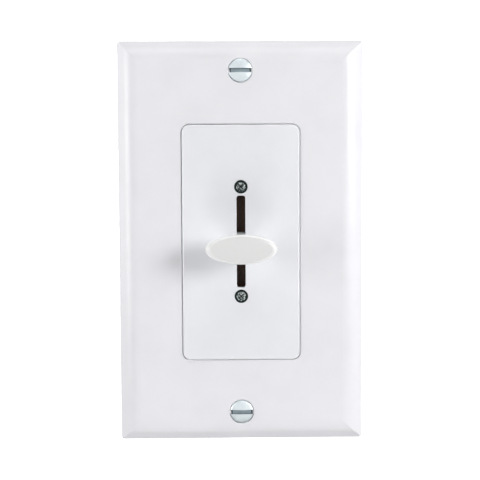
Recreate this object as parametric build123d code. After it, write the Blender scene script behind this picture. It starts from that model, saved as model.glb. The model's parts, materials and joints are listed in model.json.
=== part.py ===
"""Slide dimmer for a single-gang wall box, with its decorator wall plate, in millimetres.

The dimmer is a low-voltage (12 to 24 V DC) lamp dimmer. A slide potentiometer hangs behind a flat
white insert, and its lever carries an oval knob. A circuit board behind it holds the switching
transistor on a heat sink, the driver, a trimmer and a rising-cage terminal block.

Frame: the wall surface is the plane y = 0. The face looks along -Y, the wall box lies towards +Y,
+X is to the right as the face is seen, and +Z is up. The origin is the middle of the device.
"""
from build123d import *
from math import radians, tan
import os

# ---- Driving dimensions ------------------------------------------------------------------------
# Wall plate: a standard-size single-gang decorator plate, 4.5 by 2.75 inches
PLATE_WIDTH, PLATE_HEIGHT, PLATE_DEPTH = 69.85, 114.3, 5.6
PLATE_SKIN = 1.9            # thickness of the flat front
PLATE_SIDE = 2.0            # thickness of the side walls
PLATE_EDGE = 2.0            # height of the straight side wall
PLATE_BEVEL = 3.9           # how far the bevel runs in over the front
PLATE_ROUND, PLATE_SHOULDER_ROUND = 6.0, 1.6    # where the bevel meets the front and the side
PLATE_CORNER = 1.3
WINDOW_WIDTH, WINDOW_HEIGHT, WINDOW_CORNER, WINDOW_ROUND = 33.5, 66.9, 2.3, 0.3
COLLAR_WALL = 1.5           # wall round the window, behind the front
PLATE_BOSS = 3.2            # radius of the boss behind each screw, clear of the box screw's head
PLATE_HOLE = 2.1            # radius of the screw holes
RIB_THICKNESS = 1.2
EDGE_RIB_X = 25.0           # upright ribs beside the strap's ears
PLATE_SCREW_PITCH = 96.84   # 3 13/16 inches between the wall plate's two screws
BOX_SCREW_PITCH = 83.3      # 3 9/32 inches between the wall box's two screws

# Mounting strap: steel sheet that lies just clear of the wall, so that the plate's rim seats on it
STRAP_SHEET, STRAP_BACK = 1.1, -0.1
STRAP_CENTRE_WIDTH, STRAP_CENTRE_HEIGHT = 44.0, 73.0
STRAP_NECK_WIDTH = 21.0
STRAP_EAR_WIDTH, STRAP_EAR_LOW, STRAP_LENGTH = 36.0, 45.2, 106.0
STRAP_OPENING_WIDTH, STRAP_OPENING_HEIGHT = 24.0, 50.0
BOX_SLOT_LENGTH, BOX_SLOT_WIDTH = 7.0, 4.0
EAR_HOLE, EAR_HOLE_X, EAR_HOLE_Z = 1.6, 15.2, 49.2
SCORE_X, SCORE_WIDTH, SCORE_DEPTH = 12.6, 0.4, 0.4     # line along which the ear's end breaks off

# Front insert, held in the strap by four snap hooks
INSERT_GAP = 0.15           # between the insert and the window, all round
INSERT_PROUD = 0.5          # in front of the wall plate
INSERT_SKIN, INSERT_WALL, INSERT_ROUND = 2.0, 1.4, 0.5
INSERT_RIB_DEPTH = 1.8
HOOK_X, HOOK_Z, HOOK_WIDTH, HOOK_THICKNESS = 14.3, 20.0, 5.0, 1.2
HOOK_BARB, HOOK_BACK, HOOK_ROOM = 0.7, 2.1, 0.1

# Number 6-32 screws in the plate and the wall box
SIX_THREAD, SIX_HEAD = 1.75, 3.35               # radii
SIX_SINK_ANGLE = 41.0       # half of the countersink's angle
PLATE_HEAD_DOME, PLATE_HEAD_ROOM = 0.8, 0.17
PLATE_SCREW_TIP = 4.2       # how far behind the wall surface the plate's screws end
DRIVE_SLOT, DRIVE_SLOT_DEPTH = 1.2, 1.25
BOX_SCREW_LENGTH, BOX_HEAD_HEIGHT = 25.4, 2.0
BOX_NECK, BOX_NECK_END = 1.5, 1.0               # plain neck inside the strap: radius and back end
RETAINER_RADIUS, RETAINER_THICKNESS = 4.5, 0.8
THREAD_ROOM = 0.05          # radial room between a screw and its tapped hole

# Slide potentiometer: 20 mm of travel, fixed by two M2 screws through the insert
SLIDE_Z = 0.35              # height of the potentiometer's middle
KNOB_Z = -1.3               # height of the knob at rest
SLOT_WIDTH, SLOT_LENGTH, SLOT_CORNER, SLOT_ROUND = 2.5, 26.0, 0.7, 0.15
POT_SCREW_PITCH = 31.0
M2_RADIUS, M2_HEAD, M2_ROOM = 1.0, 1.9, 0.08
POT_WIDTH, POT_LENGTH, POT_DEPTH, POT_SHEET = 9.0, 37.0, 7.0, 0.7
POT_SLOT_WIDTH = 2.8
POT_TAB_Z, POT_TAB_WIDTH, POT_TAB_REACH, POT_TAB_SHEET = 13.0, 2.8, 1.6, 0.5
ELEMENT_THICKNESS, ELEMENT_ROOM = 1.2, 0.05
TRACK_XS = (-2.95, -1.75, 1.75, 2.95)           # level track and its collector, off collector and its track
TRACK_WIDTH, TRACK_LENGTH, TRACK_THICKNESS = 0.8, 31.0, 0.1
LEVER_WIDTH, LEVER_THICKNESS, LEVER_FOOT, LEVER_REACH = 4.0, 1.2, -0.8, -12.8
CARRIAGE_LENGTH, CARRIAGE_WIDTH = 8.4, 7.4
WIPER_SHEET, WIPER_LENGTH, WIPER_FINGER = 0.25, 5.2, 0.6
WIPER_ROOM = 0.03           # between a wiper's finger and its track
POT_PIN_XS, POT_PIN_Z = (-2.5, 0.0, 2.5), 16.3

# Knob: an oval cap on a waisted neck
KNOB_HALF_WIDTH, KNOB_HALF_HEIGHT = 9.9, 4.15
KNOB_GAP = 0.8              # over the insert's face
KNOB_REACH = 9.5            # from the insert's face to the knob's front
CAP_DEPTH, CAP_FRONT_ROUND, CAP_BACK_ROUND = 3.4, 1.4, 0.8
NECK_TOP, NECK_WAIST, NECK_BASE = (6.6, 3.2), (4.8, 2.9), (5.2, 3.1)     # half width, half height

# Circuit board
BOARD_FRONT, BOARD_THICKNESS, BOARD_CORNER = 3.4, 1.6, 0.8
BOARD_WIDTH, BOARD_HEIGHT, BOARD_NOTCH = 38.6, 61.6, 5.4
BOARD_SCREW_SPOTS = [(11.5, -14.5), (-9.0, 28.3)]
BOARD_SCREW_HEAD, BOARD_SCREW_HEAD_HEIGHT, BOARD_SCREW_HOLE = 1.9, 1.3, 1.2
LEAD, LEAD_ROOM, LEAD_TIP = 0.3, 0.1, 1.0       # radius, room in the board, length in front of it

# Rear housing: a tray behind the strap, with a tower over the taller components
HOUSING_WIDTH, HOUSING_HEIGHT, HOUSING_CORNER, HOUSING_ROUND = 43.0, 66.0, 2.5, 0.6
HOUSING_WALL, TRAY_WALL = 1.7, 1.5
TRAY_BACK, TOWER_BACK = 8.4, 21.6
TOWER_HALF_WIDTH, TOWER_LOW, TOWER_HIGH = 16.5, -9.2, 26.0
TOWER_CORNER, TOWER_ROUND = 2.0, 0.8
HOUSING_SCREW_X, HOUSING_SCREW_Z = 18.2, 29.6
HOUSING_SCREW, HOUSING_BOSS, POST_RADIUS = 1.25, 2.6, 2.3
HOUSING_SCREW_HEAD, HOUSING_SCREW_HEAD_HEIGHT = 2.25, 1.6
OPENING_ROOM = 0.3          # round the terminal block and the trimmer
VENTS, VENT_PITCH, VENT_LENGTH, VENT_WIDTH = 6, 4.8, 22.0, 1.6
SIDE_VENT_LOW, SIDE_VENT_HIGH = 11.5, 17.5

# Terminal block: four rising-cage poles
POLES, POLE_PITCH, FIRST_POLE_X, POLE_Z = 4, 5.08, -2.7, -26.6
BLOCK_LOW, BLOCK_HIGH, BLOCK_BACK, BLOCK_CHAMFER = -31.0, -22.0, 17.6, 0.8
CAGE_WIDTH, CAGE_DEPTH, CAGE_LOW, CAGE_FLOOR, CAGE_TOP, CAGE_TRAVEL = 4.0, 4.6, 7.5, 0.9, 1.2, 1.6
BAR_WIDTH, BAR_LOW, BAR_THICKNESS, BAR_OVERLAP = 2.6, 12.1, 0.8, 0.6
PIN_WIDTH, PIN_THICKNESS, PIN_HOLE_ROOM = 1.0, 0.8, 0.1
WIRE_ENTRY, WIRE_ENTRY_Y, ENTRY_FUNNEL = 1.45, 10.4, 0.4
CLAMP_THREAD, CLAMP_HEAD, CLAMP_HEAD_LOW, CLAMP_HEAD_HEIGHT = 1.45, 1.95, 15.95, 1.2
CLAMP_SLOT, CLAMP_SLOT_DEPTH = 0.7, 0.8
CLAMP_ROOM = 0.05           # between the cage, the screw and the block

# Trimmer for the lowest light level
TRIM_X, TRIM_Z, TRIM_SIZE, TRIM_BACK = -11.5, -23.5, 6.6, 9.8
TRIM_ROTOR, TRIM_ROTOR_DEPTH, TRIM_ROOM = 1.9, 2.0, 0.05
TRIM_LEADS = ((-2.5, -2.2), (2.5, -2.2), (0, 2.2))

# Heat sink and switching transistor (TO-220), lying inside the tower
SINK_X, SINK_LOW, SINK_HIGH, SINK_WIDTH, SINK_BACK, SINK_SHEET = -5.1, 5.0, 23.0, 17.0, 17.4, 1.6
SINK_FOOT, SINK_FOOT_WIDTH = 1.3, 2.5           # feet that hold it off the solder joints
SINK_GROOVES, SINK_GROOVE_PITCH, SINK_GROOVE_WIDTH, SINK_GROOVE_DEPTH = 4, 4.0, 1.6, 0.7
TAB_WIDTH, TAB_HIGH, TAB_SHEET, TAB_HOLE_Z, TAB_HOLE = 10.2, 21.3, 1.3, 18.4, 1.8
BODY_LOW, BODY_HIGH, BODY_DEPTH = 5.8, 14.8, 4.5
LEG_PITCH, LEG_Z, LEG_RISE, LEG_SHEET = 2.54, 3.0, 2.4, 0.5
M3_RADIUS, M3_HEAD, M3_HEAD_HEIGHT = 1.5, 2.8, 2.0

# Other components on the back of the board: x and z of the middle of each, and its size
CAPACITOR_X, CAPACITOR_Z, CAPACITOR_RADIUS, CAPACITOR_HEIGHT, CAPACITOR_LEAD = 9.3, 18.4, 5.0, 12.5, 2.5
FUSE_X, FUSE_Z, FUSE_RADIUS, FUSE_THICKNESS, FUSE_LEAD = 9.5, 8.6, 3.6, 2.6, 2.5
DIODE_X, DIODE_Z, DIODE_RADIUS, DIODE_LENGTH, DIODE_LEAD = -8.0, -3.6, 1.6, 7.0, 5.5
DRIVER_X, DRIVER_Z, REGULATOR_X, REGULATOR_Z = 8.6, -1.0, 0.6, -3.2
CHIP_LONG, CHIP_WIDE, CHIP_DEPTH, CHIP_LEG_SHEET = 4.9, 3.9, 1.6, 0.2
RESISTOR_SPOTS = [(-12.4, 0.4), (-8.2, 0.4), (-1.2, 1.6), (2.8, 1.6), (-12.0, -14.5), (-7.4, -14.5)]
RESISTOR_SIZE = (3.2, 1.6, 0.55)
CERAMIC_SPOTS = [(12.8, -1.8), (4.6, -1.8), (3.4, -14.5), (-0.6, -14.5)]
CERAMIC_SIZE = (1.25, 2.0, 1.0)

# ---- Planes and places worked out from the driving dimensions ----------------------------------
BEYOND = 50.0               # reach of a cutter that has to run past the piece it cuts
SIGNS = (1, -1)
PLATE_FRONT = -PLATE_DEPTH
PLATE_INSIDE = PLATE_FRONT + PLATE_SKIN
STRAP_FRONT = STRAP_BACK - STRAP_SHEET
INSERT_FRONT = PLATE_FRONT - INSERT_PROUD
INSERT_INSIDE = INSERT_FRONT + INSERT_SKIN
INSERT_WIDTH, INSERT_HEIGHT = WINDOW_WIDTH - 2 * INSERT_GAP, WINDOW_HEIGHT - 2 * INSERT_GAP
SINK_CONE = (SIX_HEAD - SIX_THREAD) / tan(radians(SIX_SINK_ANGLE))      # depth of the plate's countersink
POT_BACK = INSERT_INSIDE + POT_DEPTH
POT_FLOOR = INSERT_INSIDE + POT_SHEET           # inner face of the frame's front
ELEMENT_BACK = POT_BACK - POT_TAB_SHEET
ELEMENT_FRONT = ELEMENT_BACK - ELEMENT_THICKNESS
TRACK_FRONT = ELEMENT_FRONT - TRACK_THICKNESS
CARRIAGE_FRONT, CARRIAGE_BACK = POT_FLOOR + 0.1, ELEMENT_FRONT - 1.0
BOARD_BACK = BOARD_FRONT + BOARD_THICKNESS
LEAD_END = BOARD_FRONT - LEAD_TIP
TRAY_INSIDE, TOWER_INSIDE = TRAY_BACK - TRAY_WALL, TOWER_BACK - HOUSING_WALL
KNOB_BASE, KNOB_FRONT = INSERT_FRONT - KNOB_GAP, INSERT_FRONT - KNOB_REACH
BAR_BACK = BAR_LOW + BAR_THICKNESS
CAGE_BACK = BAR_BACK + CAGE_TOP
PIN_Z = BLOCK_HIGH - 1.0
SINK_FRONT = BOARD_BACK + SINK_FOOT
TAB_SEAT = SINK_FRONT + SINK_SHEET              # face of the heat sink that the transistor lies on
POLE_XS = [FIRST_POLE_X + i * POLE_PITCH for i in range(POLES)]
BLOCK_LEFT, BLOCK_RIGHT = POLE_XS[0] - POLE_PITCH / 2 - 0.1, POLE_XS[-1] + POLE_PITCH / 2 + 0.1
LEG_XS = [SINK_X + i * LEG_PITCH for i in (-1, 0, 1)]
PLATE_SCREW_SPOTS = [(0, up * PLATE_SCREW_PITCH / 2) for up in SIGNS]
BOX_SCREW_SPOTS = [(0, up * BOX_SCREW_PITCH / 2) for up in SIGNS]
POT_SCREW_SPOTS = [(0, SLIDE_Z + up * POT_SCREW_PITCH / 2) for up in SIGNS]
POT_PIN_SPOTS = [(x, SLIDE_Z + up * POT_PIN_Z) for x in POT_PIN_XS for up in SIGNS]
HOUSING_SCREW_SPOTS = [(side * HOUSING_SCREW_X, up * HOUSING_SCREW_Z) for side in SIGNS for up in SIGNS]
TRIM_LEAD_SPOTS = [(TRIM_X + dx, TRIM_Z + dz) for dx, dz in TRIM_LEADS]
CAPACITOR_LEAD_SPOTS = [(CAPACITOR_X, CAPACITOR_Z + up * CAPACITOR_LEAD) for up in SIGNS]
FUSE_LEAD_SPOTS = [(FUSE_X + side * FUSE_LEAD, FUSE_Z) for side in SIGNS]
DIODE_LEAD_SPOTS = [(DIODE_X + side * DIODE_LEAD, DIODE_Z) for side in SIGNS]
LEG_SPOTS = [(x, LEG_Z) for x in LEG_XS]


# ---- Shapes that many pieces use ---------------------------------------------------------------
def block(x0, x1, y0, y1, z0, z1):
    """A box between two corners."""
    middle = Pos((x0 + x1) / 2, (y0 + y1) / 2, (z0 + z1) / 2)
    return middle * Box(abs(x1 - x0), abs(y1 - y0), abs(z1 - z0))


def pad(x, z, width, height, y0, y1):
    """A box centred on x and z, from y0 to y1."""
    return block(x - width / 2, x + width / 2, y0, y1, z - height / 2, z + height / 2)


def slab(sketch, y0, y1):
    """A sketch drawn in X and Z, given thickness from y0 back to y1."""
    return extrude(Plane.XZ.offset(-y0) * sketch, -(y1 - y0))


def rounded(width, height, corner, y0, y1, x=0.0, z=0.0):
    """A slab with rounded corners."""
    return slab(Pos(x, z) * RectangleRounded(width, height, corner), y0, y1)


def rod(radius, y0, y1, x=0.0, z=0.0):
    """A cylinder along Y."""
    return slab(Pos(x, z) * Circle(radius), y0, y1)


def cone(radius0, radius1, y0, y1, x=0.0, z=0.0):
    """A cone frustum along Y, with radius0 at y0 and radius1 at y1."""
    return Pos(x, (y0 + y1) / 2, z) * Rot(-90, 0, 0) * Cone(radius0, radius1, y1 - y0)


def turned(points, x, z):
    """A solid turned about a line along Y, from (radius, y) points that start and end on that line."""
    outline = make_face(Polyline(*points, close=True))
    return Pos(x, 0, z) * revolve(outline, Axis.Y, 360)


def across_x(radius, length, x, y, z):
    """A cylinder along X."""
    return Pos(x, y, z) * Rot(0, 90, 0) * Cylinder(radius, length)


def cross(x, z, long, short, y0, y1):
    """The cutter for a cross-head screw's recess."""
    return pad(x, z, long, short, y0, y1) + pad(x, z, short, long, y0, y1)


def pan_screw(thread, head, y_top, head_height, y_tip, x, z):
    """A round-headed cross-head screw along Y, from the top of its head to its tip."""
    way = 1 if y_tip > y_top else -1
    seat = y_top + way * head_height
    screw = turned([(0, y_top), (head * 0.55, y_top), (head * 0.93, y_top + way * head_height * 0.4),
                    (head, y_top + way * head_height * 0.75), (head, seat), (thread, seat),
                    (thread, y_tip - way * 0.3), (thread * 0.7, y_tip), (0, y_tip)], x, z)
    floor = y_top + way * head_height * 0.6
    return screw - cross(x, z, head * 1.1, head * 0.28, y_top - way, floor)


def lead(x, z, y_top):
    """A round component lead, from y_top through the circuit board."""
    return rod(LEAD, LEAD_END, y_top, x, z)


def back_face(solid):
    return solid.faces().sort_by(Axis.Y)[-1]


def front_face(solid):
    return solid.faces().sort_by(Axis.Y)[0]


# ---- Wall plate and its screws -----------------------------------------------------------------
def bevelled_profile(width, depth, edge, bevel, front_round, shoulder_round):
    """Section of a plate, flat in front and bevelled at both ends, in a plane whose second axis is Y."""
    half = width / 2
    points = [(-half, 0), (-half, -edge), (-half + bevel, -depth)]
    points += [(half - bevel, -depth), (half, -edge), (half, 0)]
    face = make_face(Polyline(*points, close=True))
    face = fillet([v for v in face.vertices() if v.Y < -depth + 0.01], front_round)
    return fillet([v for v in face.vertices() if abs(v.Y + edge) < 0.01], shoulder_round)


def bevelled_block(width, height, corner, *profile):
    """A mitred block: a bevelled section along each axis, kept where the two meet."""
    upright = extrude(Plane.XY.offset(-height / 2) * bevelled_profile(width, *profile), height)
    from_side = Plane(origin=(-width / 2, 0, 0), x_dir=(0, 0, -1), z_dir=(1, 0, 0))
    level = extrude(from_side * bevelled_profile(height, *profile), width)
    return upright & level & rounded(width, height, corner, -BEYOND, 0)


def wall_plate():
    plate = bevelled_block(PLATE_WIDTH, PLATE_HEIGHT, PLATE_CORNER, PLATE_DEPTH, PLATE_EDGE, PLATE_BEVEL,
                           PLATE_ROUND, PLATE_SHOULDER_ROUND)
    shell = 2 * PLATE_SIDE
    plate -= bevelled_block(PLATE_WIDTH - shell, PLATE_HEIGHT - shell, 0.5, PLATE_DEPTH - PLATE_SKIN,
                            PLATE_EDGE - 0.7, PLATE_BEVEL - 1.3, 1.2, 0.4)
    collar = 2 * COLLAR_WALL
    plate += rounded(WINDOW_WIDTH + collar, WINDOW_HEIGHT + collar, WINDOW_CORNER + COLLAR_WALL,
                     PLATE_INSIDE, STRAP_FRONT)
    rib_end = PLATE_WIDTH / 2 - PLATE_SIDE - 0.4
    for x, z in PLATE_SCREW_SPOTS:
        plate += rod(PLATE_BOSS, PLATE_INSIDE, STRAP_FRONT, x, z)
        edge_rib_z = z - 2.4 if z > 0 else z + 2.4
        for side in SIGNS:
            # Stiffening ribs, clear of the strap: level with the screw, and upright beside the strap's ear
            rib_middle = side * (PLATE_BOSS - 0.4 + rib_end) / 2
            rib_length = rib_end - PLATE_BOSS + 0.4
            plate += pad(rib_middle, z, rib_length, RIB_THICKNESS, PLATE_INSIDE, STRAP_FRONT - 0.6)
            plate += pad(side * EDGE_RIB_X, edge_rib_z, RIB_THICKNESS, 16, PLATE_INSIDE, -0.8)
    plate -= rounded(WINDOW_WIDTH, WINDOW_HEIGHT, WINDOW_CORNER, -BEYOND, BEYOND)
    plate = fillet(opening_rim(plate, PLATE_FRONT, WINDOW_WIDTH, WINDOW_HEIGHT), WINDOW_ROUND)
    room = PLATE_HEAD_ROOM
    for x, z in PLATE_SCREW_SPOTS:
        plate -= rod(PLATE_HOLE, -BEYOND, BEYOND, x, z)
        plate -= cone(SIX_HEAD + room, SIX_THREAD + room, PLATE_FRONT, PLATE_FRONT + SINK_CONE, x, z)
    return plate


def opening_rim(solid, y, width, height, z=0.0):
    """The edges that bound an opening in the plane at y."""
    half_width, half_height = width / 2 + 0.1, height / 2 + 0.1
    rim = [edge for edge in solid.edges() if abs(edge.center().Y - y) < 0.001]
    return [e for e in rim if abs(e.center().X) < half_width and abs(e.center().Z - z) < half_height]


def plate_screw(x, z):
    """Oval-head slotted screw, countersunk in the wall plate and tapped into the strap."""
    top = PLATE_FRONT - PLATE_HEAD_DOME
    dome = (SIX_HEAD ** 2 + PLATE_HEAD_DOME ** 2) / (2 * PLATE_HEAD_DOME)   # radius of the domed top
    crown = Pos(x, top + dome, z) * Sphere(dome) & rod(SIX_HEAD, top, PLATE_FRONT, x, z)
    neck, tip = PLATE_FRONT + SINK_CONE, PLATE_SCREW_TIP
    screw = crown + cone(SIX_HEAD, SIX_THREAD, PLATE_FRONT, neck, x, z)
    screw += rod(SIX_THREAD, neck, tip - 0.5, x, z)
    screw += cone(SIX_THREAD, SIX_THREAD - 0.5, tip - 0.5, tip, x, z)
    return screw - pad(x, z, 3 * SIX_HEAD, DRIVE_SLOT, -BEYOND, top + DRIVE_SLOT_DEPTH)


# ---- Mounting strap and the screws in it -------------------------------------------------------
def mounting_strap():
    outline = RectangleRounded(STRAP_CENTRE_WIDTH, STRAP_CENTRE_HEIGHT, 2.5)
    outline += Rectangle(STRAP_NECK_WIDTH, 2 * STRAP_EAR_LOW + 4)
    ear_height = STRAP_LENGTH / 2 - STRAP_EAR_LOW
    for up in SIGNS:
        ear = RectangleRounded(STRAP_EAR_WIDTH, ear_height, 2)
        outline += Pos(0, up * (STRAP_EAR_LOW + ear_height / 2)) * ear
    strap = slab(outline, STRAP_FRONT, STRAP_BACK)
    strap -= rounded(STRAP_OPENING_WIDTH, STRAP_OPENING_HEIGHT, 1.5, -BEYOND, BEYOND)
    for x, z in BOX_SCREW_SPOTS:
        strap -= slab(Pos(x, z) * SlotOverall(BOX_SLOT_LENGTH, BOX_SLOT_WIDTH), -BEYOND, BEYOND)
    for x, z in PLATE_SCREW_SPOTS:
        strap -= rod(SIX_THREAD + THREAD_ROOM, -BEYOND, BEYOND, x, z)
    for x, z in HOUSING_SCREW_SPOTS:
        strap -= rod(HOUSING_SCREW + THREAD_ROOM, -BEYOND, BEYOND, x, z)
    hook_slot = HOOK_THICKNESS + 2 * HOOK_ROOM + 0.1
    for side in SIGNS:
        for up in SIGNS:
            strap -= pad(side * HOOK_X, up * HOOK_Z, hook_slot, HOOK_WIDTH + 6 * HOOK_ROOM, -BEYOND, BEYOND)
            strap -= pad(side * SCORE_X, up * EAR_HOLE_Z, SCORE_WIDTH, 9, -BEYOND, STRAP_FRONT + SCORE_DEPTH)
            strap -= rod(EAR_HOLE, -BEYOND, BEYOND, side * EAR_HOLE_X, up * EAR_HOLE_Z)
    return strap


def box_screw(x, z):
    """Slotted number 6-32 screw, one inch long under its head, that fastens the strap to a wall box."""
    top, tip = STRAP_FRONT - BOX_HEAD_HEIGHT, STRAP_FRONT + BOX_SCREW_LENGTH
    screw = turned([(0, top), (SIX_HEAD * 0.6, top), (SIX_HEAD * 0.93, top + 0.6), (SIX_HEAD, top + 1.3),
                    (SIX_HEAD, STRAP_FRONT), (BOX_NECK, STRAP_FRONT), (BOX_NECK, BOX_NECK_END),
                    (SIX_THREAD, BOX_NECK_END), (SIX_THREAD, tip - 0.6), (1.1, tip), (0, tip)], x, z)
    return screw - pad(x, z, 3 * SIX_HEAD, DRIVE_SLOT, -BEYOND, top + 1)


def screw_retainer(x, z):
    """Fibre washer that keeps a box screw in the strap's slot."""
    washer = rod(RETAINER_RADIUS, STRAP_BACK, STRAP_BACK + RETAINER_THICKNESS, x, z)
    return washer - rod(BOX_NECK + THREAD_ROOM, -BEYOND, BEYOND, x, z)


# ---- Front insert ------------------------------------------------------------------------------
def front_insert():
    insert = rounded(INSERT_WIDTH, INSERT_HEIGHT, WINDOW_CORNER - INSERT_GAP, INSERT_FRONT, STRAP_FRONT)
    wall = 2 * INSERT_WALL
    insert -= rounded(INSERT_WIDTH - wall, INSERT_HEIGHT - wall, 0.8, INSERT_INSIDE, BEYOND)
    insert = fillet(front_face(insert).edges(), INSERT_ROUND)
    insert -= rounded(SLOT_WIDTH, SLOT_LENGTH, SLOT_CORNER, -BEYOND, BEYOND, 0, SLIDE_Z)
    insert = fillet(opening_rim(insert, INSERT_FRONT, SLOT_WIDTH, SLOT_LENGTH, SLIDE_Z), SLOT_ROUND)
    for x, z in POT_SCREW_SPOTS:
        insert -= rod(M2_RADIUS + M2_ROOM, -BEYOND, BEYOND, x, z)
        insert -= cone(M2_HEAD + M2_ROOM, M2_RADIUS + M2_ROOM,
                       INSERT_FRONT, INSERT_FRONT + M2_HEAD - M2_RADIUS, x, z)
    rib_back = INSERT_INSIDE + INSERT_RIB_DEPTH
    for side in SIGNS:
        # Ribs that locate the potentiometer, and stiffening ribs beyond its ends
        insert += pad(side * (POT_WIDTH / 2 + 0.6), 0, 1, 34, INSERT_INSIDE, rib_back)
        for up in SIGNS:
            insert += pad(side * 10.1, up * 25.9, 10.2, 1, INSERT_INSIDE, rib_back)
            insert += snap_hook(side, up)
    return insert


def snap_hook(side, up):
    """Springy arm through the strap, with a wedge-shaped barb behind it."""
    inner, outer = side * (HOOK_X - HOOK_THICKNESS / 2), side * (HOOK_X + HOOK_THICKNESS / 2)
    barb, tip, catch = outer + side * HOOK_BARB, outer - side * 0.3, STRAP_BACK + HOOK_ROOM
    outline = Polyline((inner, INSERT_INSIDE), (outer, INSERT_INSIDE), (outer, catch), (barb, catch),
                       (tip, HOOK_BACK), (inner, HOOK_BACK), close=True)
    low = up * HOOK_Z - HOOK_WIDTH / 2
    return extrude(Plane.XY.offset(low) * make_face(outline), HOOK_WIDTH)


def potentiometer_screw(x, z):
    """M2 countersunk cross-head screw, flush with the insert and tapped into the potentiometer's frame."""
    neck, tip = INSERT_FRONT + M2_HEAD - M2_RADIUS, POT_FLOOR + 0.4
    screw = turned([(0, INSERT_FRONT), (M2_HEAD, INSERT_FRONT), (M2_RADIUS, neck), (M2_RADIUS, tip - 0.2),
                    (M2_RADIUS * 0.7, tip), (0, tip)], x, z)
    return screw - cross(x, z, M2_HEAD * 1.1, 0.5, -BEYOND, INSERT_FRONT + 0.8)


# ---- Slide potentiometer -----------------------------------------------------------------------
def pot_frame():
    inner_width, inner_length = POT_WIDTH - 2 * POT_SHEET, POT_LENGTH - 2 * POT_SHEET
    frame = pad(0, SLIDE_Z, POT_WIDTH, POT_LENGTH, INSERT_INSIDE, ELEMENT_BACK)
    frame -= pad(0, SLIDE_Z, inner_width, inner_length, POT_FLOOR, BEYOND)
    frame -= pad(0, SLIDE_Z, POT_SLOT_WIDTH, SLOT_LENGTH, -BEYOND, BEYOND)
    for x, z in POT_SCREW_SPOTS:
        frame -= rod(M2_RADIUS + 0.03, -BEYOND, 0, x, z)
    tab_x = POT_WIDTH / 2 - POT_TAB_REACH / 2
    for side in SIGNS:
        for up in SIGNS:
            # Tab folded over the element board, and the window in the side wall that it was cut from
            z = SLIDE_Z + up * POT_TAB_Z
            frame += pad(side * tab_x, z, POT_TAB_REACH, POT_TAB_WIDTH, ELEMENT_BACK, POT_BACK)
            frame -= pad(side * POT_WIDTH / 2, z, 2, POT_TAB_WIDTH, -2, ELEMENT_FRONT)
    return frame


def pot_element_board():
    room = 2 * (POT_SHEET + ELEMENT_ROOM)
    board = pad(0, SLIDE_Z, POT_WIDTH - room, POT_LENGTH - room, ELEMENT_FRONT, ELEMENT_BACK)
    for x, z in POT_PIN_SPOTS:
        board -= rod(LEAD + 0.02, -BEYOND, BEYOND, x, z)
    return board


def pot_terminal(x, z):
    """Tinned pin, headed on the front of the element board and soldered through the circuit board."""
    pin = rod(LEAD, ELEMENT_FRONT, BOARD_BACK + 0.9, x, z)
    return pin + rod(LEAD + 0.35, ELEMENT_FRONT - 0.25, ELEMENT_FRONT, x, z)


def pot_track(x):
    return pad(x, SLIDE_Z, TRACK_WIDTH, TRACK_LENGTH, TRACK_FRONT, ELEMENT_FRONT)


def pot_carriage():
    carriage = pad(0, KNOB_Z, CARRIAGE_WIDTH, CARRIAGE_LENGTH, CARRIAGE_FRONT, CARRIAGE_BACK)
    carriage = chamfer(carriage.edges().filter_by(Axis.X), 0.3)
    return carriage - pad(0, KNOB_Z, LEVER_THICKNESS, LEVER_WIDTH, -BEYOND, LEVER_FOOT)


def pot_lever():
    lever = pad(0, KNOB_Z, LEVER_THICKNESS, LEVER_WIDTH, LEVER_REACH, LEVER_FOOT)
    return chamfer(front_face(lever).edges(), 0.3)


def pot_wiper(x_left, x_right):
    """Sprung bridge under the carriage: it touches a resistive track and the collector beside it."""
    back = CARRIAGE_BACK + WIPER_SHEET
    width = x_right - x_left + WIPER_FINGER
    wiper = pad((x_left + x_right) / 2, KNOB_Z, width, WIPER_LENGTH, CARRIAGE_BACK, back)
    high, foot = KNOB_Z + WIPER_LENGTH / 2, TRACK_FRONT - WIPER_ROOM
    outline = Polyline((high, CARRIAGE_BACK), (high, back), (high - 2.2, foot), (high - 2.8, foot),
                       (high - 0.8, CARRIAGE_BACK), close=True)
    for x in (x_left, x_right):
        side = Plane(origin=(x - WIPER_FINGER / 2, 0, 0), x_dir=(0, 0, 1), z_dir=(-1, 0, 0))
        wiper += extrude(side * make_face(outline), -WIPER_FINGER)
    return wiper


# ---- Knob --------------------------------------------------------------------------------------
def slide_knob():
    cap_back = KNOB_FRONT + CAP_DEPTH
    cap = slab(Ellipse(KNOB_HALF_WIDTH, KNOB_HALF_HEIGHT), KNOB_FRONT, cap_back)
    cap = fillet(front_face(cap).edges(), CAP_FRONT_ROUND)
    cap = fillet(back_face(cap).edges(), CAP_BACK_ROUND)
    stations = [(cap_back - 0.4, NECK_TOP), ((cap_back + KNOB_BASE) / 2, NECK_WAIST), (KNOB_BASE, NECK_BASE)]
    knob = cap + loft([Plane.XZ.offset(-y) * Ellipse(*halves) for y, halves in stations])
    knob -= pad(0, 0, LEVER_THICKNESS, LEVER_WIDTH, LEVER_REACH, BEYOND)
    return Pos(0, 0, KNOB_Z) * knob


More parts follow.
